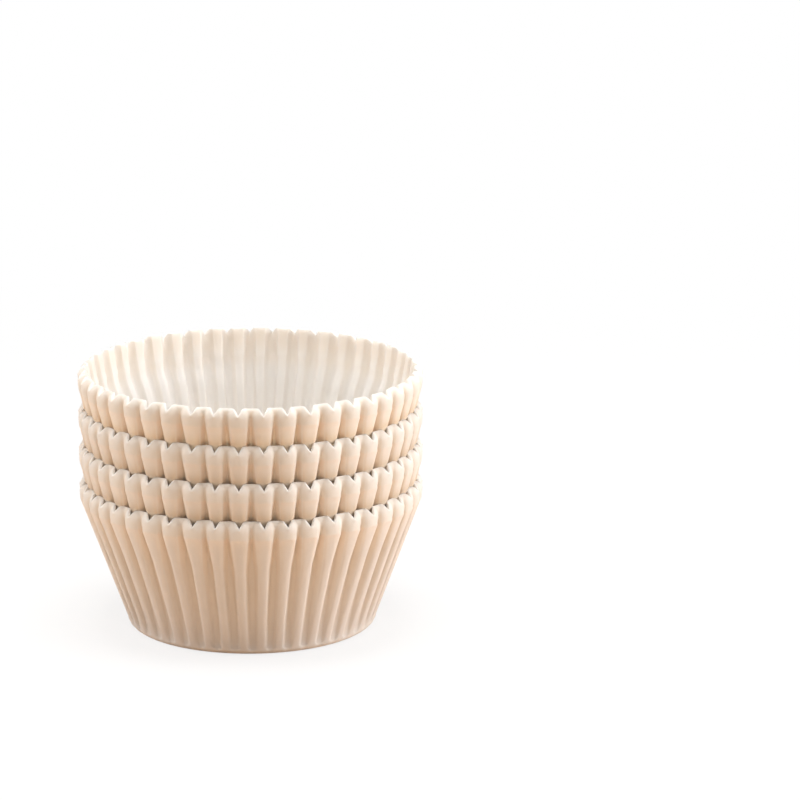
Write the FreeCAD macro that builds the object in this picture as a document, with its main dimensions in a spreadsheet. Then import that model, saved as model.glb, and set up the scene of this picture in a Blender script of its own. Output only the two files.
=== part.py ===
# Stack of four nested cupcake liners
#
# A liner is a pleated paper cup: a flat round base, a rounded heel, a wall that flares
# outward in upright pleats, and a hem where the top of the paper is turned outward and
# down. The four liners are alike. Each one stands a little higher inside the one below,
# held where its wall meets the rim of that liner. Sizes are in millimetres, the stack
# stands on z = 0 and its axis is the z axis.

import FreeCAD
import Part
import math
import os

LINERS = ("liner_1", "liner_2", "liner_3", "liner_4")

# Sizes that shape the object
#
# A share is a part of the pleat pitch, or of the length that its remark names.

SIZES = (
    ("pleat_count", 45, "ridges around one liner"),
    ("paper", 0.3, "thickness of the paper, measured toward the axis"),
    ("base_radius", 24.4, "flat part of the underside"),
    ("heel_reach", 2.2, "radius gained from the flat underside to the foot of the wall"),
    ("heel_rise", 1.7, "height of the foot of the wall"),
    ("wall_angle", 20.4, "lean of the wall away from upright, in degrees"),
    ("liner_height", 32.0, "underside to crest of one liner"),
    ("hem_height", 4.2, "lower edge of the hem to the crest"),
    ("hem_step", 0.1, "how far the lower edge of the hem stands out from the wall"),
    ("belly_swell", 0.1, "how far the fullest line of the hem stands out from its edge"),
    ("belly_share", 0.55, "height of that line as a share of the hem"),
    ("groove_depth", 1.9, "depth of a groove between two ridges below the hem"),
    ("crest_groove_share", 0.35, "part of that depth that is left at the crest"),
    ("wall_ridge_share", 0.6, "width of a ridge on the wall and at the crest"),
    ("hem_ridge_share", 0.76, "width of a ridge on the fullest line of the hem"),
    ("notch_width_share", 0.65, "width of the notch as a share of the ridge at the crest"),
    ("notch_depth_share", 0.72, "depth of the notch as a share of the way to the belly"),
    ("rim_gap", 3.8, "height of wall seen between a hem and the rim below it"),
    ("seat_gap", 0.3, "clearance between a wall and the rim that it sits in"),
)

doc = FreeCAD.newDocument("cupcake_liners")
sheet = doc.addObject("Spreadsheet::Sheet", "Sizes")
for row, (alias, value, remark) in enumerate(SIZES, start=1):
    sheet.set(f"A{row}", alias)
    sheet.set(f"B{row}", str(value))
    sheet.set(f"C{row}", remark)
    sheet.setAlias(f"B{row}", alias)

# Sizes that follow from the others

last_row = len(SIZES)
sheet.set(f"A{last_row + 1}", "nest_pitch")
sheet.set(f"B{last_row + 1}", "=hem_height + rim_gap")
sheet.set(f"C{last_row + 1}", "rise from one liner to the next")
sheet.setAlias(f"B{last_row + 1}", "nest_pitch")
doc.recompute()

pleat_count = int(round(sheet.pleat_count))
paper = float(sheet.paper)
base_radius = float(sheet.base_radius)
heel_rise = float(sheet.heel_rise)
heel_radius = base_radius + float(sheet.heel_reach)
flare = math.tan(math.radians(float(sheet.wall_angle)))
liner_height = float(sheet.liner_height)
hem_height = float(sheet.hem_height)
hem_step = float(sheet.hem_step)
groove_depth = float(sheet.groove_depth)
wall_ridge_share = float(sheet.wall_ridge_share)
hem_ridge_share = float(sheet.hem_ridge_share)
nest_pitch = float(sheet.nest_pitch)
seat_gap = float(sheet.seat_gap)

hem_edge_height = liner_height - hem_height
belly_height = hem_edge_height + float(sheet.belly_share) * hem_height
pleat_angle = 2.0 * math.pi / pleat_count


def wall_radius(height):
    """Outside of a ridge of the plain wall at a height above the underside."""
    return heel_radius + flare * (height - heel_rise)


def wall_groove_depth(height):
    """The grooves start as nothing at the heel and are deepest at the hem."""
    return groove_depth * (height - heel_rise) / (hem_edge_height - heel_rise)


# The rim is as wide as the wall of the next liner where the two meet
#
# Its grooves are shallower than those of the wall in it, which leaves a small dark hollow
# above the rim at the foot of each groove.

seat_height = liner_height - nest_pitch
crest_radius = wall_radius(seat_height) + seat_gap + paper
crest_depth = min(
    float(sheet.crest_groove_share) * groove_depth,
    wall_groove_depth(seat_height),
)
belly_depth = groove_depth + float(sheet.belly_share) * (crest_depth - groove_depth)
belly_radius = wall_radius(hem_edge_height) + hem_step + float(sheet.belly_swell)
notch_drop = float(sheet.notch_depth_share) * (liner_height - belly_height)
ridge_half_width = crest_radius * math.sin(0.5 * wall_ridge_share * pleat_angle)
notch_half_width = float(sheet.notch_width_share) * ridge_half_width


def around(radius, angle, height):
    """Point at a radius and an angle about the axis."""
    return FreeCAD.Vector(radius * math.cos(angle), radius * math.sin(angle), height)


def ridge_middle(index):
    """Angle of a ridge. A groove, not a ridge, faces the front."""
    return -0.5 * math.pi + (index + 0.5) * pleat_angle


def ring(radius, height, share, depth):
    """One level of the paper: the left edge, right edge and next groove of each pleat.

    A level without depth has no groove points.
    """
    points = []
    for index in range(pleat_count):
        middle = ridge_middle(index)
        half = 0.5 * share * pleat_angle
        left = around(radius, middle - half, height)
        right = around(radius, middle + half, height)
        groove = None
        if depth > 0.0:
            groove = around(radius - depth, middle + 0.5 * pleat_angle, height)
        points.append((left, right, groove))
    return points


def round_edge(radius, height):
    """Edge of a flat round face, with one point in line with the middle of each ridge."""
    return [around(radius, ridge_middle(index), height) for index in range(pleat_count)]


# Levels of the outside, from the underside up

underside = round_edge(base_radius, 0.0)
heel_turn = ring(
    base_radius + 0.72 * (heel_radius - base_radius),
    0.3 * heel_rise,
    wall_ridge_share,
    0.0,
)
wall_foot = ring(heel_radius, heel_rise, wall_ridge_share, 0.0)
wall_top = ring(wall_radius(hem_edge_height), hem_edge_height, wall_ridge_share, groove_depth)
hem_edge = ring(
    wall_radius(hem_edge_height) + hem_step,
    hem_edge_height,
    wall_ridge_share,
    groove_depth,
)
belly = ring(belly_radius, belly_height, hem_ridge_share, belly_depth)
crest_outer = ring(crest_radius, liner_height, wall_ridge_share, crest_depth)

# Levels of the inside, from the crest down

crest_inner = ring(crest_radius - paper, liner_height, wall_ridge_share, crest_depth)
inner_top = ring(
    wall_radius(hem_edge_height) - paper,
    hem_edge_height,
    wall_ridge_share,
    groove_depth,
)
inner_foot_height = heel_rise + paper
inner_foot = ring(
    wall_radius(inner_foot_height) - paper,
    inner_foot_height,
    wall_ridge_share,
    0.0,
)
inner_floor = round_edge(base_radius, paper)


def notch(crest, below):
    """The notch in the middle of each ridge: its left corner, its foot, its right corner.

    The foot lies on the flat of the ridge, so that the ridge stays one flat face.
    """
    cuts = []
    for (left, right, _), (low_left, low_right, _) in zip(crest, below):
        middle = (left + right) * 0.5
        low_middle = (low_left + low_right) * 0.5
        share = notch_drop / (middle.z - low_middle.z)
        foot = middle + (low_middle - middle) * share
        spread = (right - left).normalize() * notch_half_width
        cuts.append((middle - spread, foot, middle + spread))
    return cuts


outer_notch = notch(crest_outer, belly)
inner_notch = notch(crest_inner, inner_top)

# Faces of the paper


def face(*corners):
    """Flat face through the corners."""
    return Part.Face(Part.makePolygon(list(corners) + [corners[0]]))


def first_band(edge, level):
    """Faces between the edge of a flat round face and a level without grooves."""
    faces = []
    for index in range(pleat_count):
        left, right, _ = level[index]
        next_left = level[(index + 1) % pleat_count][0]
        next_point = edge[(index + 1) % pleat_count]
        faces.append(face(edge[index], right, left))
        faces.append(face(edge[index], next_point, next_left, right))
    return faces


def plain_band(low, high):
    """Faces between two levels without grooves."""
    faces = []
    for index in range(pleat_count):
        left, right, _ = low[index]
        next_left = low[(index + 1) % pleat_count][0]
        high_left, high_right, _ = high[index]
        high_next = high[(index + 1) % pleat_count][0]
        faces.append(face(left, right, high_right, high_left))
        faces.append(face(right, next_left, high_next, high_right))
    return faces


def pleats_start(low, high):
    """Faces between a level without grooves and a level with them."""
    faces = []
    for index in range(pleat_count):
        left, right, _ = low[index]
        next_left = low[(index + 1) % pleat_count][0]
        high_left, high_right, groove = high[index]
        high_next = high[(index + 1) % pleat_count][0]
        faces.append(face(left, right, high_right, high_left))
        faces.append(face(right, groove, high_right))
        faces.append(face(right, next_left, groove))
        faces.append(face(next_left, high_next, groove))
    return faces


def pleats_go_on(low, high, cuts=None):
    """Faces between two levels with grooves, where the ridges may end in notches."""
    faces = []
    for index in range(pleat_count):
        left, right, groove = low[index]
        next_left = low[(index + 1) % pleat_count][0]
        high_left, high_right, high_groove = high[index]
        high_next = high[(index + 1) % pleat_count][0]
        if cuts is None:
            faces.append(face(left, right, high_right, high_left))
        else:
            cut_left, foot, cut_right = cuts[index]
            faces.append(face(left, right, high_right, cut_right, foot, cut_left, high_left))
        faces.append(face(right, groove, high_right))
        faces.append(face(groove, high_groove, high_right))
        faces.append(face(groove, next_left, high_next))
        faces.append(face(groove, high_next, high_groove))
    return faces


def level_step(inner, outer):
    """Flat faces between two levels at one height."""
    faces = []
    for index in range(pleat_count):
        left, right, groove = inner[index]
        next_left = inner[(index + 1) % pleat_count][0]
        out_left, out_right, out_groove = outer[index]
        out_next = outer[(index + 1) % pleat_count][0]
        faces.append(face(left, right, out_right, out_left))
        faces.append(face(right, groove, out_groove, out_right))
        faces.append(face(groove, next_left, out_next, out_groove))
    return faces


def notched_crest(inner, outer, inner_cuts, outer_cuts):
    """The crest of the paper, running down into each notch and up again."""
    faces = []
    for index in range(pleat_count):
        left, right, groove = inner[index]
        next_left = inner[(index + 1) % pleat_count][0]
        out_left, out_right, out_groove = outer[index]
        out_next = outer[(index + 1) % pleat_count][0]
        path = (left, *inner_cuts[index], right, groove, next_left)
        out_path = (out_left, *outer_cuts[index], out_right, out_groove, out_next)
        for step in range(len(path) - 1):
            faces.append(face(path[step], path[step + 1], out_path[step + 1], out_path[step]))
    return faces


faces = [face(*underside), face(*inner_floor)]
faces += first_band(underside, heel_turn)
faces += plain_band(heel_turn, wall_foot)
faces += pleats_start(wall_foot, wall_top)
faces += level_step(wall_top, hem_edge)
faces += pleats_go_on(hem_edge, belly)
faces += pleats_go_on(belly, crest_outer, outer_notch)
faces += notched_crest(crest_inner, crest_outer, inner_notch, outer_notch)
faces += pleats_go_on(inner_top, crest_inner, inner_notch)
faces += pleats_start(inner_foot, inner_top)
faces += first_band(inner_floor, inner_foot)

shell = Part.makeShell(faces)
shell.sewShape()
liner_shape = Part.makeSolid(shell)
if liner_shape.Volume < 0.0:
    liner_shape.reverse()

# The four liners, each one nest pitch above the last

os.makedirs("parts", exist_ok=True)
for index, name in enumerate(LINERS):
    liner = doc.addObject("Part::Feature", name)
    liner.Label = name
    liner.Shape = liner_shape.copy()
    liner.setExpression(".Placement.Base.z", f"{index} * Sizes.nest_pitch")
doc.recompute()

for item in doc.Objects:
    if "Invalid" in item.State or "Error" in item.State:
        raise RuntimeError(f"{item.Label} did not recompute")
for name in LINERS:
    shape = doc.getObject(name).Shape
    if shape.isNull() or not shape.isValid() or len(shape.Solids) != 1:
        raise RuntimeError(f"{name} is not one sound solid")
for name in LINERS:
    shape = doc.getObject(name).Shape
    shape.exportStep(f"parts/{name}.step")
    box = shape.BoundBox
    print(name, "height", round(box.ZMin, 2), "to", round(box.ZMax, 2), "mm,",
          "across", round(box.XLength, 2), "mm,", len(shape.Faces), "faces,",
          round(shape.Volume, 1), "mm3")
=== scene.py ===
# %% [markdown]
# # A stack of pleated cupcake liners
#
# A cupcake liner starts as a flat disc of greaseproof paper. A pair of heated, fluted tools
# presses it into a cup: the middle stays flat, the edge is gathered into upright pleats, and
# the last few millimetres are turned outward and down as a hem. Four of them stand inside
# one another here. This lesson models one paper sheet as a rule, a profile that is swept
# round the axis while a pleat wave pushes it in and out, and lets Geometry Nodes follow
# that rule for each liner.

# %% Load the frame
import math
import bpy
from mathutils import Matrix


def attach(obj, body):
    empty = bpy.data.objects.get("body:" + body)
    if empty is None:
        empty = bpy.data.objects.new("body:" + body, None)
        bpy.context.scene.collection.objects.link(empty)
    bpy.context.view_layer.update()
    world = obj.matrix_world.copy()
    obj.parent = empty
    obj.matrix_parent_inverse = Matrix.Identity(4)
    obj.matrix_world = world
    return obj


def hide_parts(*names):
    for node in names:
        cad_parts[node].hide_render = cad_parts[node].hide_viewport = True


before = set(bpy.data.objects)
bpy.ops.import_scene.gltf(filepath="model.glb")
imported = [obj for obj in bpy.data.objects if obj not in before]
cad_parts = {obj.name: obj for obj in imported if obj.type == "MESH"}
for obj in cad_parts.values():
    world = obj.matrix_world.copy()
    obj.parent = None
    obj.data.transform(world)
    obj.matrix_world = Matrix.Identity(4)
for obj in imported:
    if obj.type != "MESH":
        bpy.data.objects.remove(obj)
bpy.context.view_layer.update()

from types import SimpleNamespace

import bpy
from mathutils import Vector

MM = 0.001

# %% [markdown]
# ## Camera
#
# The stack was photographed from a good way off with a long lens, a little above the rim.
# The flat ellipse of the top rim and the rounder one of the base give the camera's height,
# and the size of the frame gives the lens. The stack stands left of the middle of the
# picture, so the camera is aimed past it instead of shifting the lens.

# %% Camera
camera_data = bpy.data.cameras.new("photo_camera")
camera_data.sensor_width = 36.0
camera_data.lens = 204.0
camera_data.clip_start = 0.05
camera_data.clip_end = 20.0
camera = bpy.data.objects.new("photo_camera", camera_data)
bpy.context.collection.objects.link(camera)
camera.location = Vector((0.0, -930.0, 290.0)) * MM
aim = Vector((31.7, 0.0, 48.1)) * MM
camera.rotation_euler = (aim - camera.location).to_track_quat("-Z", "Y").to_euler()
bpy.context.scene.camera = camera
print("camera distance in mm:", round((camera.location - aim).length / MM, 1))

# %% [markdown]
# ## The sizes of a liner
#
# A liner this size is about 50 mm across its floor and 32 mm high. Heights are counted from
# its underside and radii from its axis. A share is a width given as a part of one pleat,
# because the pleats fan out and a ridge is wider near the rim than near the floor.

# %% Sizes of one liner, in mm
PLEATS = 45
PAPER = 0.3
BASE_RADIUS = 24.4
HEEL_RADIUS = 26.6
HEEL_HEIGHT = 1.7
FLARE = math.tan(math.radians(20.4))
INNER_HEM_FOOT = 26.4
HEM_FOOT = 27.8
PETAL_FOOT = 21.0
PETAL_BODY = 24.0
BELLY_HEIGHT = 30.1
LINER_HEIGHT = 32.0
CREST_RADIUS = 35.62
CREST_SINK = 0.35
CREST_HEIGHT = LINER_HEIGHT - CREST_SINK
GROOVE_DEPTH = 1.9
CREST_GROOVE = 0.55
NOTCH_DEPTH = 1.30
BASE_SHARE = 0.58
INNER_SHARE = 0.38
SEAT_BULGE = 0.46
NEST_PITCH = 8.0

# %% [markdown]
# ## The rules of the wall
#
# On a real liner the tool's flutes are shallow at the heel and deepen as the wall flares,
# because there is more paper to gather. The hem then flattens them again. Each of these
# habits is a small function of the height, which is easier to tune against a photograph
# than a curve with handles.

# %% Rules for a height
def between(value, low, high):
    """How far value has come from low to high, from 0 to 1."""
    return min(1.0, max(0.0, (value - low) / (high - low)))


def wall_radius(height):
    """Outside of a ridge on the wall, at a height above the underside."""
    return HEEL_RADIUS + FLARE * (height - HEEL_HEIGHT)


def groove_at(height):
    """Depth of a groove: a dimple at the heel, deepest below the hem, slight at the crest."""
    on_wall = GROOVE_DEPTH * between(height, HEEL_HEIGHT - 0.9, 25.5) ** 0.5
    closed = between(height, INNER_HEM_FOOT, LINER_HEIGHT) ** 0.8
    return on_wall - (GROOVE_DEPTH - CREST_GROOVE) * closed


def share_at(height):
    """Width of a ridge as a share of the pleat: narrow on the wall, full at the hem's belly."""
    wall = 0.41 + 0.05 * between(height, HEEL_HEIGHT, PETAL_FOOT)
    foot = between(height, PETAL_FOOT, PETAL_BODY)
    swell = between(height, PETAL_BODY, BELLY_HEIGHT - 0.2)
    close = between(height, BELLY_HEIGHT - 0.7, LINER_HEIGHT)
    return wall + 0.12 * foot + 0.17 * math.sin(0.5 * math.pi * swell) - 0.36 * close ** 1.3


def inner_share_at(height):
    """Width of the slit that a ridge leaves on the inside, as a share of the pleat."""
    return min(share_at(height), INNER_SHARE)


def seat_at(height):
    """Where a ridge swells out to rest against the crest of the liner below, from 0 to 1."""
    rise = between(height, 20.0, 23.8)
    return rise * rise * (3.0 - 2.0 * rise) * (1.0 - between(height, 24.2, 27.5))


# %% [markdown]
# ## The paper's profile
#
# Cut a liner through its axis and the paper shows as one thin closed line: out along the
# underside, round the heel, up the wall, over the hem and its crest, and back down the
# inside to the middle of the floor. That line could be drawn as a curve and spun, but the
# pleats need more facts at every height: how deep a groove is there, how wide a ridge is,
# how far the notch at the crest reaches down, and where the wall leans on the liner below.
# A chain of vertices with named attributes carries all of them, so the profile is written
# as stations.

# %% Stations up the outside
# The fold fact marks the crest, where the material paints a highlight.
FACTS = ("groove", "share", "notch", "fold", "hem", "inside", "seat")
FLOOR_RINGS = (0.0, 4.0, 9.0, 14.0, 18.5, 22.0)
HEEL_STEPS = 6
HEEL_GROOVE = 0.22
WALL_STEPS = 22
WALL_END = HEM_FOOT - 0.1    # the last ring of the wall lies just under the hem
stations = []                # each is a radius, a height and its facts


def add_station(radius, height, **facts):
    """A point of the profile with its facts. A fact that isn't named is 0."""
    stations.append((radius, height, facts))


for radius in FLOOR_RINGS + (BASE_RADIUS,):
    add_station(radius, 0.0, share=BASE_SHARE)
for step in range(1, HEEL_STEPS):
    turn = 0.5 * math.pi * step / HEEL_STEPS
    add_station(
        BASE_RADIUS + (HEEL_RADIUS - BASE_RADIUS) * math.sin(turn) ** 0.9,
        HEEL_HEIGHT * (1.0 - math.cos(turn)),
        groove=HEEL_GROOVE * (step / HEEL_STEPS) ** 2, share=BASE_SHARE)
for step in range(WALL_STEPS + 1):
    height = HEEL_HEIGHT + (WALL_END - HEEL_HEIGHT) * step / WALL_STEPS
    add_station(
        wall_radius(height), height,
        groove=groove_at(height), share=share_at(height), seat=seat_at(height))
print("stations up to the hem:", len(stations))

# %% [markdown]
# The hem is doubled paper, so it stands out from the wall by a fraction of a millimetre,
# bellies, and rolls inward to the crest. That line is short and follows no simple formula,
# so it is a table of points.

# %% Stations over the hem
HEM_LINE = (
    # how far it stands out from the wall's top, and its height
    (0.02, 27.80),
    (0.06, 27.98),
    (0.11, 28.30),
    (0.17, 28.85),
    (0.19, 29.35),
    (0.15, 29.85),
    (0.07, 30.30),
    (-0.06, 30.72),
    (-0.23, 31.08),
    (-0.43, 31.35),
    (-0.62, 31.52),
    (-0.78, 31.60),
)
CREST_LINE = ((0.20, 0.01), (0.28, 0.0), (0.34, 0.05))
wall_top = wall_radius(HEM_FOOT)
for stand_out, height in HEM_LINE:
    add_station(
        wall_top + stand_out, height, groove=groove_at(height), share=share_at(height),
        notch=between(height, BELLY_HEIGHT - 0.4, CREST_HEIGHT),
        fold=between(height, 31.45, 31.60), hem=between(height, 27.6, 28.2))
for back, down in CREST_LINE:
    add_station(
        CREST_RADIUS - back, CREST_HEIGHT - down, groove=CREST_GROOVE,
        share=share_at(LINER_HEIGHT), notch=1.0, fold=1.0, hem=1.0)
print("stations up to the crest:", len(stations))

# %% Stations down the inside
INNER_HEM_STEPS = 6
INNER_WALL_STEPS = 20
INNER_HEEL = ((26.0, 1.25), (25.4, 0.70), (24.7, 0.40))
inner_crest = CREST_RADIUS - 0.38
inner_start = CREST_HEIGHT - 0.2
inner_top = wall_radius(INNER_HEM_FOOT) - PAPER
for step in range(INNER_HEM_STEPS + 1):
    down = step / INNER_HEM_STEPS
    height = inner_start + (INNER_HEM_FOOT - inner_start) * down
    notch = between(height, BELLY_HEIGHT - 0.9, CREST_HEIGHT)
    add_station(
        inner_crest + (inner_top - inner_crest) * down, height,
        groove=groove_at(height), share=inner_share_at(height),
        notch=notch, fold=0.4 * notch, hem=0.6, inside=down)
inner_foot = HEEL_HEIGHT + PAPER
for step in range(1, INNER_WALL_STEPS + 1):
    height = INNER_HEM_FOOT + (inner_foot - INNER_HEM_FOOT) * step / INNER_WALL_STEPS
    add_station(
        wall_radius(height) - PAPER, height,
        groove=min(groove_at(height), groove_at(height - 0.4)),
        share=inner_share_at(height), inside=1.0, seat=seat_at(height))
for radius, height in INNER_HEEL:
    add_station(radius, height, share=BASE_SHARE, inside=1.0)
for radius in reversed(FLOOR_RINGS):
    add_station(radius, PAPER, share=BASE_SHARE, inside=1.0)
print("stations along the paper:", len(stations))


# %% The profile as a chain of vertices
def profile_mesh(name):
    """The stations as a chain in the XZ plane, with the pleat facts as attributes."""
    mesh = bpy.data.meshes.new(name)
    points = [(radius * MM, 0.0, height * MM) for radius, height, facts in stations]
    chain = [(index, index + 1) for index in range(len(points) - 1)]
    mesh.from_pydata(points, chain, [])
    for fact in FACTS:
        layer = mesh.attributes.new(fact, "FLOAT", "POINT")
        scale = MM if fact == "groove" else 1.0
        layer.data.foreach_set(
            "value", [facts.get(fact, 0.0) * scale for radius, height, facts in stations])
    lengths = [0.0]
    for start, end in zip(points, points[1:]):
        lengths.append(lengths[-1] + math.dist(start, end))
    mesh.attributes.new("path", "FLOAT", "POINT").data.foreach_set("value", lengths)
    return mesh


# %% [markdown]
# ## Helpers for node trees
#
# Materials and Geometry Nodes are both trees of nodes and links, so the same few helpers
# build them. Naming a piece of arithmetic once keeps the trees below readable.

# %% Nodes, links and arithmetic
def new_node(tree, kind, **settings):
    """A node of that kind with its settings, laid out in the order of making."""
    made = len(tree.nodes)
    node = tree.nodes.new(kind)
    node.location = (220.0 * (made // 8), -200.0 * (made % 8))
    for name, value in settings.items():
        setattr(node, name, value)
    return node


def feed(tree, socket, value):
    """Link a socket to an output, or set it to a plain value."""
    if isinstance(value, bpy.types.NodeSocket):
        tree.links.new(value, socket)
    else:
        socket.default_value = value


def feed_all(tree, node, values):
    """Feed several inputs of a node by name."""
    for name, value in values.items():
        feed(tree, node.inputs[name], value)


def calc(tree, operation, *values, clamp=False):
    """One step of arithmetic on outputs and numbers."""
    node = new_node(tree, "ShaderNodeMath", operation=operation, use_clamp=clamp)
    for socket, value in zip(node.inputs, values):
        feed(tree, socket, value)
    return node.outputs[0]


def arithmetic(tree, *operations):
    """Each operation as a short function of one tree, for longer sums."""
    def short(operation):
        return lambda *values: calc(tree, operation, *values)
    return [short(operation) for operation in operations]


# %% Ranges, vectors and noise
def remap(tree, value, low, high, start=0.0, end=1.0, kind="LINEAR"):
    """A value moved from the range low to high into the range start to end."""
    node = new_node(tree, "ShaderNodeMapRange", interpolation_type=kind)
    feed_all(tree, node, {
        "Value": value, "From Min": low, "From Max": high, "To Min": start, "To Max": end})
    return node.outputs["Result"]


def vector(tree, x, y, z=0.0):
    """A vector made of three outputs or numbers."""
    node = new_node(tree, "ShaderNodeCombineXYZ")
    feed_all(tree, node, {"X": x, "Y": y, "Z": z})
    return node.outputs["Vector"]


def split(tree, value):
    """The three parts of a vector."""
    node = new_node(tree, "ShaderNodeSeparateXYZ")
    feed(tree, node.inputs["Vector"], value)
    return node.outputs


def noise(tree, where, scale, detail, **more):
    """Noise at a place, from 0 to 1."""
    node = new_node(tree, "ShaderNodeTexNoise")
    feed_all(tree, node, {"Vector": where, "Scale": scale, "Detail": detail, **more})
    return node.outputs[0]


# %% Colours and bumps
def new_material(name):
    """A material with an empty node tree."""
    material = bpy.data.materials.new(name)
    material.use_nodes = True
    material.node_tree.nodes.clear()
    return material


def tinted(tree, base, colour, amount, kind="MIX"):
    """The base colour with some amount of another."""
    node = new_node(tree, "ShaderNodeMix", data_type="RGBA", blend_type=kind)
    feed_all(tree, node, {"Factor": amount, "A": base, "B": colour})
    return node.outputs["Result"]


def mixed(tree, amount, first, second):
    """Two shaders mixed by some amount of the second."""
    node = new_node(tree, "ShaderNodeMixShader")
    for socket, value in zip(node.inputs, (amount, first, second)):
        feed(tree, socket, value)
    return node.outputs["Shader"]


def bump(tree, pattern, strength, distance, **more):
    """A normal that is tilted by a pattern's slope."""
    node = new_node(tree, "ShaderNodeBump")
    feed_all(tree, node, {
        "Strength": strength, "Distance": distance, "Height": pattern, **more})
    return node.outputs["Normal"]


# %% [markdown]
# ## Paper
#
# Greaseproof liner paper is nearly white, faintly warm, matt with a soft calendered sheen,
# and thin enough that light creeps through it. Flat colour would look like plastic. The
# finish here is built from a cloudy fibre pattern, fine fibres that run up the wall and a
# whiter tone on the doubled hem. On top of these lies painted light: painted shade in a
# groove and where two liners touch, a paler inside as painted light, and painted highlights
# on the folds. A little subsurface scattering stands for the light that passes through.

# %% Fibre patterns
CLOUD_SCALE = 420.0
FIBRE_STRETCH = (2600.0, 500.0, 1.0)


def cloud_pattern(tree):
    """The cloudy spread of fibres that shows when paper is held to the light."""
    place = new_node(tree, "ShaderNodeTexCoord").outputs["Object"]
    return noise(tree, place, CLOUD_SCALE, 5.0, Roughness=0.6)


def fibre_pattern(tree):
    """Fine fibres, stretched so that they run up the wall."""
    along = new_node(tree, "ShaderNodeUVMap", uv_map="paper_map").outputs["UV"]
    stretch = new_node(tree, "ShaderNodeMapping")
    feed_all(tree, stretch, {"Vector": along, "Scale": FIBRE_STRETCH})
    return noise(tree, stretch.outputs["Vector"], 1.0, 3.0, Distortion=0.6)


# %% [markdown]
# The tree of a liner leaves four facts on each point of its mesh. Every layer of colour
# reads one of them and covers what lies below by its own amount. Three layers are painted
# light: a paler inside, painted shade in grooves and where liners touch, and painted
# highlights on the folds. Layers in a table are easier to reorder than a chain of nodes.

# %% Paper colour
CLOUD_TONES = ((0.30, (0.908, 0.820, 0.740, 1.0)), (0.70, (0.924, 0.843, 0.767, 1.0)))
PAPER_LAYERS = (
    # attribute of the mesh, amount, colour, kind of mix
    ("on_hem", 0.62, (0.868, 0.846, 0.800, 1.0), "MIX"),
    # painted light: a paler, less warm inside
    ("painted_inside_light", 0.85, (0.912, 0.866, 0.812, 1.0), "MIX"),
    # painted shade in grooves and where a liner rests on the one below
    ("painted_groove_shade", 0.85, (0.81, 0.69, 0.54, 1.0), "MULTIPLY"),
    # painted highlight on folds, ridge edges and notch edges
    ("painted_highlight_on_fold", 0.70, (0.945, 0.935, 0.915, 1.0), "MIX"),
)


def paper_colour(tree, clouds):
    """Cloudy paper under its layers of tone."""
    ramp = new_node(tree, "ShaderNodeValToRGB")
    feed(tree, ramp.inputs["Fac"], clouds)
    for element, (position, tone) in zip(ramp.color_ramp.elements, CLOUD_TONES):
        element.position = position
        element.color = tone
    colour = ramp.outputs["Color"]
    for name, amount, tone, kind in PAPER_LAYERS:
        fact = new_node(tree, "ShaderNodeAttribute", attribute_name=name).outputs["Fac"]
        colour = tinted(tree, colour, tone, calc(tree, "MULTIPLY", fact, amount), kind)
    return colour


# %% Liner paper
SMOOTHEST = 0.52
ROUGHEST = 0.74


def liner_paper():
    """Warm white greaseproof paper with fibres, painted shade in grooves and painted highlights
    on folds.
    """
    material = new_material("liner_paper")
    tree = material.node_tree
    clouds = cloud_pattern(tree)
    fibres = fibre_pattern(tree)
    paper = new_node(tree, "ShaderNodeBsdfPrincipled")
    feed_all(tree, paper, {
        "Base Color": paper_colour(tree, clouds),
        "Roughness": remap(tree, fibres, 0.0, 1.0, SMOOTHEST, ROUGHEST),
        "Normal": bump(
            tree, fibres, 0.20, 0.06 * MM, Normal=bump(tree, clouds, 0.25, 0.12 * MM)),
        "Specular IOR Level": 0.30,
        "Subsurface Weight": 0.60,
        "Subsurface Radius": (1.0, 0.95, 0.90),
        "Subsurface Scale": 1.0 * MM,
    })
    output = new_node(tree, "ShaderNodeOutputMaterial")
    feed(tree, output.inputs["Surface"], paper.outputs["BSDF"])
    return material


paper_material = liner_paper()
print("material:", paper_material.name)

# %% [markdown]
# ## The pleat rule
#
# One Geometry Nodes tree turns the profile into a liner. It lays out a grid with a row for
# each station and a fixed number of columns for each pleat. Every grid point then looks up
# its station, gets its angle from its column, is drawn in by the depth of the groove, and
# is lowered where the notch cuts the crest. Modelling a single pleat and arraying it would
# also work, but then no pleat could differ from its neighbour.

# %% Inputs of the tree
def tree_inputs(tree):
    """Named inputs of the tree, with the values of this paper."""
    sockets = {}
    facts = (
        ("Pleats", "NodeSocketInt", PLEATS),
        ("Columns per pleat", "NodeSocketInt", 24),
        ("Notch depth", "NodeSocketFloat", NOTCH_DEPTH * MM),
        ("Notch width share", "NodeSocketFloat", 0.36),
        ("Notch lean", "NodeSocketFloat", 0.50),
        ("Wall crown share", "NodeSocketFloat", 0.17),
        ("Hem crown share", "NodeSocketFloat", 0.38),
        ("Sway", "NodeSocketFloat", 0.16 * MM),
        ("Pleat shift", "NodeSocketFloat", 0.012),
        ("Crest waver", "NodeSocketFloat", 0.20 * MM),
        ("Seat bulge", "NodeSocketFloat", 0.0),
        ("Lift", "NodeSocketFloat", 0.0),
        ("Seed", "NodeSocketFloat", 3.0),
    )
    tree.interface.new_socket("Geometry", in_out="INPUT", socket_type="NodeSocketGeometry")
    for name, kind, value in facts:
        sockets[name] = tree.interface.new_socket(name, in_out="INPUT", socket_type=kind)
        sockets[name].default_value = value
    sockets["Paper"] = tree.interface.new_socket(
        "Paper", in_out="INPUT", socket_type="NodeSocketMaterial")
    tree.interface.new_socket("Geometry", in_out="OUTPUT", socket_type="NodeSocketGeometry")
    return sockets


# %% [markdown]
# ### A row for each station
#
# The grid's own index says which column and which row a point is in. The row number is the
# number of a station, so the point can read the whole profile there with Sample Index.

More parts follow.
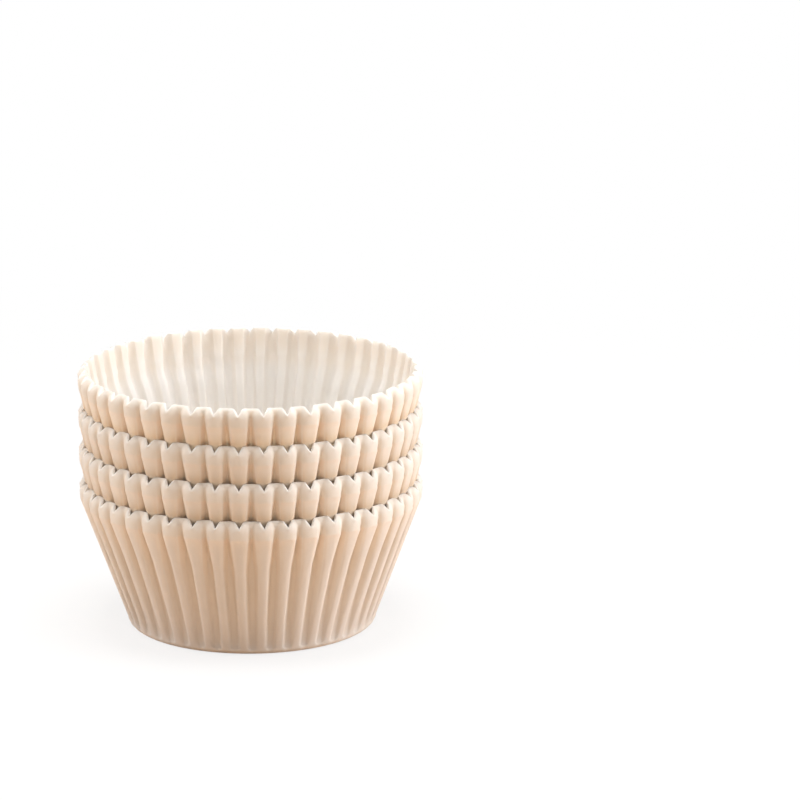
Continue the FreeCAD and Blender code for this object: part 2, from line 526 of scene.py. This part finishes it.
# %% Grid and profile
def station_grid(tree, profile, given):
    """A flat grid with a row for each station and columns right round the axis."""
    add, sub, mul, div = arithmetic(tree, "ADD", "SUBTRACT", "MULTIPLY", "DIVIDE")
    size = new_node(tree, "GeometryNodeAttributeDomainSize", component="MESH")
    feed(tree, size.inputs["Geometry"], profile)
    rows = size.outputs["Point Count"]
    columns = mul(given["Pleats"], given["Columns per pleat"])
    grid = new_node(tree, "GeometryNodeMeshGrid")
    feed_all(tree, grid, {"Vertices X": add(columns, 1.0), "Vertices Y": rows})
    index = new_node(tree, "GeometryNodeInputIndex").outputs["Index"]
    column = calc(tree, "FLOOR", div(add(index, 0.5), rows))
    station = sub(index, mul(column, rows))
    return grid, column, station


def look_up(tree, profile, value, kind, station):
    """A value of the profile at a station."""
    sample = new_node(tree, "GeometryNodeSampleIndex", data_type=kind, domain="POINT")
    feed_all(tree, sample, {"Geometry": profile, "Value": value, "Index": station})
    return sample.outputs["Value"]


def profile_facts(tree, profile, station):
    """What the profile says at a station: its radius, its height and every named fact."""
    position = new_node(tree, "GeometryNodeInputPosition").outputs["Position"]
    place = split(tree, look_up(tree, profile, position, "FLOAT_VECTOR", station))
    at = SimpleNamespace(radius=place["X"], height=place["Z"])
    for fact in FACTS + ("path",):
        named = new_node(tree, "GeometryNodeInputNamedAttribute", data_type="FLOAT")
        feed(tree, named.inputs["Name"], fact)
        setattr(at, fact, look_up(
            tree, profile, named.outputs["Attribute"], "FLOAT", station))
    return at


# %% [markdown]
# ### Across one pleat
#
# A pleat is a flat ridge, a steep flank and a narrow floor, and it is alike on both sides.
# The columns crowd onto the flank, where the paper turns sharply, and spread out over the
# flat of the ridge. The ridge bulges a little toward its middle, because paper that is
# folded over a flute springs back from the crease.

# %% The pleat's wave
LAND = 0.5                   # part of the columns that lies on the ridge
FLANK_END = 11.0 / 12.0      # part of the columns that lies on ridge and flank
FOOT_LIMIT = 0.97            # widest share that a flank's foot may reach
FOOT_GROWTH = 1.6            # the foot's share against the ridge's
FOOT_MARGIN = 0.08
HEM_NARROWING = 0.12         # how much closer the foot comes on the hem
DROP_LEAD = 0.06             # how far inside the ridge's edge the drop begins
CROWN_ROUNDING = 2.4


def pleat_wave(tree, given, at, column):
    """Where a point lies in its pleat, and how far the paper has sunk there."""
    add, sub, mul, div = arithmetic(tree, "ADD", "SUBTRACT", "MULTIPLY", "DIVIDE")
    per_pleat = given["Columns per pleat"]
    pleat = calc(tree, "FLOOR", div(add(column, 0.5), per_pleat))
    local = sub(column, mul(pleat, per_pleat))
    across = sub(mul(div(local, per_pleat), 2.0), 1.0)
    out = calc(tree, "ABSOLUTE", across)

    # Half the columns lie on the ridge, most of the rest on the flank, the last on the floor
    on_land = mul(calc(tree, "MINIMUM", out, LAND), 1.0 / LAND)
    on_flank = remap(tree, out, LAND, FLANK_END)
    on_floor = remap(tree, out, FLANK_END, 1.0)
    foot = calc(tree, "MINIMUM", FOOT_LIMIT, sub(
        add(mul(at.share, FOOT_GROWTH), FOOT_MARGIN), mul(at.hem, HEM_NARROWING)))
    spread = add(mul(on_land, at.share), add(
        mul(on_flank, sub(foot, at.share)), mul(on_floor, sub(1.0, foot))))

    # A rounded crown takes part of the depth, the steep flank takes the rest
    crown = remap(
        tree, at.hem, 0.0, 1.0, given["Wall crown share"], given["Hem crown share"])
    bend = mul(calc(tree, "POWER", on_land, CROWN_ROUNDING), crown)
    drop = remap(tree, spread, sub(at.share, DROP_LEAD), foot, kind="SMOOTHSTEP")
    sunk = add(bend, mul(drop, sub(1.0, crown)))
    return SimpleNamespace(
        pleat=pleat, side=calc(tree, "SIGN", across), out=out, spread=spread, sunk=sunk)


# %% [markdown]
# ### No two pleats alike
#
# Paper liners are never quite round or level. Noise that is read on a circle meets
# itself after one turn, so it can sway the rim and shift the pleats without leaving a seam.
# The size of the circle sets how many times the noise changes on the way round.

# %% Slow noise round the axis
# Each is the size of the circle on which the noise is read, and its height there.
SHIFT_NOISE = (5.0, 0.0)
NOTCH_NOISE = (9.0, 3.0)
SWAY_NOISE = (1.3, 7.0)
CREST_NOISE = (6.0, 11.0)


def waver(tree, around, seed, circle, layer):
    """Slow noise round the axis, from about -1 to 1, that meets itself after one turn."""
    add, sub, mul = arithmetic(tree, "ADD", "SUBTRACT", "MULTIPLY")
    x, y = around
    where = vector(tree, mul(x, circle), mul(y, circle), add(seed, layer))
    return mul(sub(noise(tree, where, 1.0, 2.0), 0.5), 3.0)


# %% [markdown]
# ### Where a point goes
#
# The angle comes from the pleat, the radius from the groove, and the height from the
# station. The notch is a V in the crest of each ridge that leans outward as it opens. Just
# under the hem a ridge swells out a little, because it rests there on the liner below.

# %% A point's place
GROWN_HEIGHT = 22.0 * MM     # from here up the unevenness is full
NOTCH_UNEVENNESS = 0.18
NOTCH_ROUNDING = 1.2


def point_place(tree, given, at, wave):
    """The place of a point, and how deep in the notch it lies."""
    add, sub, mul, div = arithmetic(tree, "ADD", "SUBTRACT", "MULTIPLY", "DIVIDE")
    seed = given["Seed"]

    # The angle, with the pleats a little shifted further up the wall
    turn = div(2.0 * math.pi, given["Pleats"])
    place = add(add(wave.pleat, 0.5), mul(mul(wave.side, wave.spread), 0.5))
    plain_angle = sub(mul(place, turn), 0.5 * math.pi)
    around = (calc(tree, "COSINE", plain_angle), calc(tree, "SINE", plain_angle))
    grown = calc(tree, "DIVIDE", at.height, GROWN_HEIGHT, clamp=True)
    shift = mul(mul(waver(tree, around, seed, *SHIFT_NOISE), grown), given["Pleat shift"])
    angle = add(plain_angle, shift)

    # The notch, a little deeper in one ridge than in the next
    cut = calc(
        tree, "SUBTRACT", 1.0, div(wave.spread, given["Notch width share"]), clamp=True)
    uneven = add(1.0, mul(waver(tree, around, seed, *NOTCH_NOISE), NOTCH_UNEVENNESS))
    rounded = calc(tree, "POWER", cut, NOTCH_ROUNDING)
    lowered = mul(mul(mul(rounded, at.notch), given["Notch depth"]), uneven)

    # The radius: groove, swell at the seat, sway of the rim, lean of the notch
    drawn_in = sub(at.radius, mul(at.groove, wave.sunk))
    sway = mul(mul(waver(tree, around, seed, *SWAY_NOISE), grown), given["Sway"])
    swayed = add(add(drawn_in, mul(at.seat, given["Seat bulge"])), sway)
    radius = add(swayed, mul(lowered, given["Notch lean"]))

    # The height: the notch, and a crest that is not quite level
    near_crest = calc(tree, "POWER", at.notch, 0.5)
    crest_waver = mul(
        mul(waver(tree, around, seed, *CREST_NOISE), near_crest), given["Crest waver"])
    height = add(add(sub(at.height, lowered), crest_waver), given["Lift"])
    x = mul(radius, calc(tree, "COSINE", angle))
    y = mul(radius, calc(tree, "SINE", angle))
    return vector(tree, x, y, height), cut


# %% [markdown]
# ### Facts for the paper
#
# The tree knows where it folded the paper and how deep each point lies, so it writes that
# down for the material, which paints shade into the grooves, a highlight onto the folds and
# paler light onto the inside. Shading worked out from finished geometry would be softer and
# would have to be guessed again.

# %% Store the facts
def store(tree, geometry, name, value, domain="POINT", data_type="FLOAT"):
    """Keep a value on the mesh under a name, for the material to read."""
    node = new_node(
        tree, "GeometryNodeStoreNamedAttribute", domain=domain, data_type=data_type)
    feed_all(tree, node, {"Geometry": geometry, "Name": name, "Value": value})
    return node.outputs["Geometry"]


# %% Painted shade of grooves and painted highlight of folds
DEEPEST_GROOVE_SHADE = 0.6
PRESSED_SHADE = 0.85
EDGE_WIDTH = 0.09            # in parts of half a pleat's columns
HEM_FOLD_HIGHLIGHT = 0.4
RIDGE_FOLD_HIGHLIGHT = 0.35
NOTCH_FOLD_HIGHLIGHT = 0.6


def groove_shade_tone(tree, given, at, wave):
    """Painted shade: how deep a point lies in a groove, or against the liner below, from 0 to
    1.
    """
    sub, mul = arithmetic(tree, "SUBTRACT", "MULTIPLY")
    groove_ratio = calc(tree, "DIVIDE", at.groove, GROOVE_DEPTH * MM, clamp=True)
    pressed = calc(tree, "MULTIPLY", calc(tree, "POWER", at.seat, 2.0), mul(
        given["Seat bulge"], PRESSED_SHADE / (SEAT_BULGE * MM)), clamp=True)
    deepest = calc(
        tree, "MAXIMUM", mul(mul(wave.sunk, groove_ratio), DEEPEST_GROOVE_SHADE), pressed)
    return mul(deepest, sub(1.0, at.inside)), groove_ratio


def fold_highlight_tone(tree, at, wave, cut, groove_ratio):
    """Painted highlight on the crest, the ridge edges and the notch edges, from 0 to 1."""
    sub, mul = arithmetic(tree, "SUBTRACT", "MULTIPLY")
    off_edge = calc(tree, "ABSOLUTE", sub(wave.out, LAND))
    edge = remap(tree, off_edge, 0.0, EDGE_WIDTH, 1.0, 0.0, kind="SMOOTHSTEP")
    ridge_edge = mul(mul(edge, groove_ratio), sub(1.0, at.inside))
    in_notch = calc(tree, "GREATER_THAN", cut, 0.001)
    notch_edge = mul(calc(tree, "POWER", at.notch, 4.0), mul(in_notch, NOTCH_FOLD_HIGHLIGHT))
    return calc(tree, "MAXIMUM", mul(at.fold, HEM_FOLD_HIGHLIGHT), calc(
        tree, "MAXIMUM", mul(ridge_edge, RIDGE_FOLD_HIGHLIGHT), notch_edge), clamp=True)


# %% Map of the flat sheet
MAP_RADIUS = 31.0            # a radius about halfway up the wall, in mm


def paper_map(tree, grid, at):
    """The flat sheet's own map: the way round in X and the way along the paper in Y."""
    girth = 2.0 * math.pi * MAP_RADIUS * MM
    turned = split(tree, grid.outputs["UV Map"])["X"]
    return vector(tree, calc(tree, "MULTIPLY", turned, girth), at.path)


# %% [markdown]
# ### The whole tree
#
# The facts are stored while the grid is still flat. Then its points move to their places,
# the seam and the two poles are merged shut, and the mesh gets its paper.

# %% Build the tree
SAME_POINT = 0.001 * MM


def pleated_liner_tree():
    """The tree that follows the pleat rule, and its inputs by name."""
    tree = bpy.data.node_groups.new("pleated_liner", "GeometryNodeTree")
    sockets = tree_inputs(tree)
    given = new_node(tree, "NodeGroupInput").outputs
    profile = given["Geometry"]
    grid, column, station = station_grid(tree, profile, given)
    at = profile_facts(tree, profile, station)
    wave = pleat_wave(tree, given, at, column)
    where, cut = point_place(tree, given, at, wave)
    depth, groove_ratio = groove_shade_tone(tree, given, at, wave)
    fold_highlight = fold_highlight_tone(tree, at, wave, cut, groove_ratio)

    # painted shade of grooves and of the seat, kept for the material
    mesh = store(tree, grid.outputs["Mesh"], "painted_groove_shade", depth)
    # painted highlight of folds, kept for the material
    mesh = store(tree, mesh, "painted_highlight_on_fold", fold_highlight)
    mesh = store(tree, mesh, "on_hem", at.hem)
    # painted light of the inside, kept for the material
    mesh = store(tree, mesh, "painted_inside_light", at.inside)
    mesh = store(tree, mesh, "paper_map", paper_map(tree, grid, at), "CORNER", "FLOAT2")
    for kind, values in (
            ("GeometryNodeSetPosition", {"Position": where}),
            ("GeometryNodeMergeByDistance", {"Distance": SAME_POINT}),
            ("GeometryNodeSetShadeSmooth", {}),
            ("GeometryNodeRealizeInstances", {}),
            ("GeometryNodeSetMaterial", {"Material": given["Paper"]})):
        node = new_node(tree, kind)
        feed_all(tree, node, {"Geometry": mesh, **values})
        mesh = node.outputs["Geometry"]
    feed(tree, new_node(tree, "NodeGroupOutput").inputs["Geometry"], mesh)
    return tree, sockets


liner_tree, liner_sockets = pleated_liner_tree()
print("nodes in the liner tree:", len(liner_tree.nodes))

# %% [markdown]
# ## Four liners
#
# The liners were pressed together as one pile, so their pleats line up and share most of
# their unevenness. Each one gets the same tree and the same profile, with its own lift and
# a seed that is a little further on. The lowest liner rests on no other, so its wall has no
# swell. The modifier's result is taken as a plain mesh, and the carrier is removed.

# %% Make each liner
def make_liner(name, lift, seed, bulge):
    """A plain mesh liner made by the tree, standing at its own height in the stack."""
    carrier = bpy.data.objects.new(name + "_rule", profile_mesh(name + "_profile"))
    bpy.context.collection.objects.link(carrier)
    rule = carrier.modifiers.new("pleated_liner", "NODES")
    rule.node_group = liner_tree
    for socket, value in (
            ("Lift", lift), ("Seed", seed), ("Seat bulge", bulge), ("Paper", paper_material)):
        rule[liner_sockets[socket].identifier] = value
    bpy.context.view_layer.update()
    evaluated = carrier.evaluated_get(bpy.context.evaluated_depsgraph_get())
    mesh = bpy.data.meshes.new_from_object(evaluated)
    mesh.name = name + "_paper"
    bpy.data.objects.remove(carrier)
    liner = bpy.data.objects.new(name + "_paper", mesh)
    bpy.context.collection.objects.link(liner)
    return liner


LINERS = 4
FIRST_SEED = 3.0
SEED_STEP = 0.02
for number in range(LINERS):
    node = "liner_%d" % (number + 1)
    bulge = 0.0 if number == 0 else SEAT_BULGE * MM
    seed = FIRST_SEED + SEED_STEP * number
    liner = make_liner(node, number * NEST_PITCH * MM, seed, bulge)
    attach(liner, "root")
    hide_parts(node)
    triangles = sum(len(face.vertices) - 2 for face in liner.data.polygons)
    print(node, "triangles:", triangles)

# %% [markdown]
# ## Floor and background
#
# The stack was shot against plain white. A wide pale floor carries the soft shadow, and
# to the camera alone it glows most of the way to white, and all the way some distance off,
# so that the background stays clean without more light falling on the paper. The light
# that the floor sends up into the pleats is warmer.

# %% Floor
FLOOR_REACH = 3.0
FLOOR_DROP = 0.1 * MM
BOUNCE_COLOUR = (0.70, 0.505, 0.355, 1.0)
SEEN_COLOUR = (0.95, 0.94, 0.93, 1.0)
WHITE = (1.0, 1.0, 1.0, 1.0)
LEAST_GLOW = 0.80
GLOW_STARTS = 0.10           # distances from the middle, between which the glow grows
GLOW_IS_FULL = 0.32


def floor_material():
    """A floor that is warm to the object and nearly white to the camera."""
    material = new_material("pale_floor")
    tree = material.node_tree
    seen = new_node(tree, "ShaderNodeLightPath").outputs["Is Camera Ray"]
    plain = new_node(tree, "ShaderNodeBsdfDiffuse")
    feed(tree, plain.inputs["Color"], tinted(tree, BOUNCE_COLOUR, SEEN_COLOUR, seen))
    glow = new_node(tree, "ShaderNodeEmission")
    feed_all(tree, glow, {"Color": WHITE, "Strength": 1.0})
    far = new_node(tree, "ShaderNodeVectorMath", operation="LENGTH")
    feed(tree, far.inputs[0], new_node(tree, "ShaderNodeTexCoord").outputs["Object"])
    fade = remap(
        tree, far.outputs["Value"], GLOW_STARTS, GLOW_IS_FULL, LEAST_GLOW, 1.0,
        kind="SMOOTHSTEP")
    surface = mixed(
        tree, calc(tree, "MULTIPLY", seen, fade), plain.outputs["BSDF"],
        glow.outputs["Emission"])
    feed(tree, new_node(tree, "ShaderNodeOutputMaterial").inputs["Surface"], surface)
    return material


floor_mesh = bpy.data.meshes.new("floor")
corners = [(x * FLOOR_REACH, y * FLOOR_REACH, 0.0) for x, y in (
    (-1, -1), (1, -1), (1, 1), (-1, 1))]
floor_mesh.from_pydata(corners, [], [(0, 1, 2, 3)])
floor_mesh.materials.append(floor_material())
floor = bpy.data.objects.new("floor", floor_mesh)
bpy.context.collection.objects.link(floor)
floor.location.z = -FLOOR_DROP

# %% [markdown]
# ## Light
#
# The picture is high in key and has almost no shadow. A soft lamp straight above makes the
# inside of the top liner glow, a small one high in front fills it, two low wings round off
# the sides and a weak low lamp lifts the front. The lower wall is lit mostly by the warm
# floor, which is why it looks more like peach than the white hems above it.

# %% World
def background(tree, colour, strength):
    """A sky of one colour."""
    node = new_node(tree, "ShaderNodeBackground")
    feed_all(tree, node, {"Color": colour, "Strength": strength})
    return node.outputs["Background"]


world = bpy.data.worlds.new("studio")
bpy.context.scene.world = world
world.use_nodes = True
sky = world.node_tree
sky.nodes.clear()
soft_sky = background(sky, (1.0, 0.89, 0.79, 1.0), 0.08)
white_sky = background(sky, WHITE, 1.0)
seen = new_node(sky, "ShaderNodeLightPath").outputs["Is Camera Ray"]
sky_output = new_node(sky, "ShaderNodeOutputWorld")
feed(sky, sky_output.inputs["Surface"], mixed(sky, seen, soft_sky, white_sky))

# %% Lamps
LAMP_TARGET = Vector((0.0, 0.0, 0.03))
LAMPS = (
    # name, place and size in metres, power in watts, tint
    ("overhead", (0.0, -0.01, 0.90), 0.42, 6.1, (1.0, 0.99, 0.98)),
    ("high_front", (0.0, -0.64, 0.66), 0.3, 1.1, (1.0, 0.96, 0.92)),
    ("right_wing", (0.78, -0.05, 0.24), 0.6, 6.1, (0.95, 0.97, 1.0)),
    ("left_wing", (-0.78, 0.10, 0.24), 0.6, 3.9, (0.98, 0.98, 0.98)),
    ("low_front", (0.0, -1.0, 0.25), 0.6, 1.0, (1.0, 0.92, 0.84)),
)


def soft_lamp(name, place, size, power, tint):
    """A square lamp that points at the middle of the stack."""
    data = bpy.data.lights.new(name, "AREA")
    data.size = size
    data.energy = power
    data.color = tint
    lamp = bpy.data.objects.new(name, data)
    lamp.location = place
    towards = LAMP_TARGET - Vector(place)
    lamp.rotation_euler = towards.to_track_quat("-Z", "Y").to_euler()
    bpy.context.collection.objects.link(lamp)


for lamp in LAMPS:
    soft_lamp(*lamp)

# %% Look settings
bpy.context.scene.view_settings.view_transform = "Standard"
